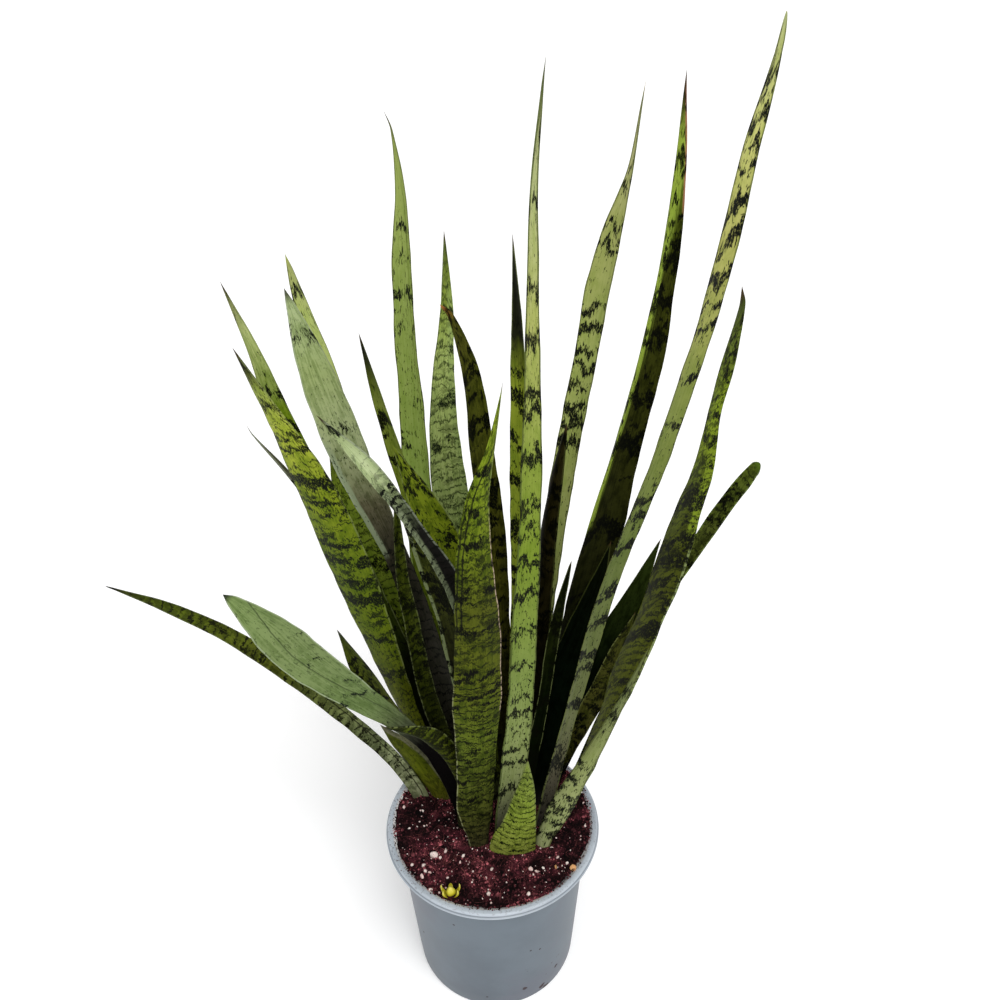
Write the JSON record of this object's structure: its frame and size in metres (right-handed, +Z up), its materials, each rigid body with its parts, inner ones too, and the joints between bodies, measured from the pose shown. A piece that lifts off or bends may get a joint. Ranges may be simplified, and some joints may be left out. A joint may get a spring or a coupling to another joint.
{
  "type": "potted snake plant",
  "caption": "Upright sword-shaped mottled leaves rising in a clump from crumbly soil in a round, tapered, rimmed nursery pot.",
  "frame": {"origin": "centre of the pot's underside", "axes": "+Z up along the pot's axis, -Y towards the viewer of the picture, +X to the viewer's right"},
  "size_m": [0.616, 0.314, 0.927],
  "materials": {
    "pot_plastic": "blue-grey moulded plastic, faint satin sheen, light dust and dirt smudges",
    "potting_soil": null,
    "shoot_yellow": null,
    "leaf_silver": null,
    "leaf_pale": null,
    "leaf_green": null,
    "leaf_banded": null,
    "leaf_dark": null
  },
  "bodies": {
    "root": {"pot": "pot_plastic", "soil": "potting_soil", "yellow_shoot": "shoot_yellow", "leaf_far_left": "leaf_banded", "leaf_silver_low": "leaf_silver", "leaf_low_curl": "leaf_banded", "leaf_low_olive": "leaf_banded", "leaf_left_spear": "leaf_dark", "leaf_left_front": "leaf_green", "leaf_left_back": "leaf_green", "leaf_left_wisp": "leaf_dark", "leaf_left_shade": "leaf_green", "leaf_silver_tall": "leaf_silver", "leaf_silver_back": "leaf_pale", "leaf_silver_fold": "leaf_silver", "leaf_dark_horn": "leaf_dark", "leaf_green_mid": "leaf_banded", "leaf_tall_left": "leaf_green", "leaf_tall_silver": "leaf_silver", "leaf_dark_curl": "leaf_dark", "leaf_front": "leaf_banded", "leaf_dark_slim": "leaf_green", "leaf_tall_mid": "leaf_pale", "leaf_short_front": "leaf_pale", "leaf_tall_right": "leaf_pale", "leaf_shade_slim": "leaf_dark", "leaf_tall_dark": "leaf_dark", "leaf_tallest": "leaf_pale", "leaf_right_front": "leaf_banded", "leaf_right_back": "leaf_dark", "leaf_pale_right": "leaf_pale", "leaf_small_spear": "leaf_banded", "leaf_broad_dark": "leaf_dark", "leaf_right_dark": "leaf_dark", "leaf_olive_slim": "leaf_banded", "leaf_mid_slim": "leaf_banded", "leaf_mid_dark": "leaf_dark"}
  },
  "joints": []
}
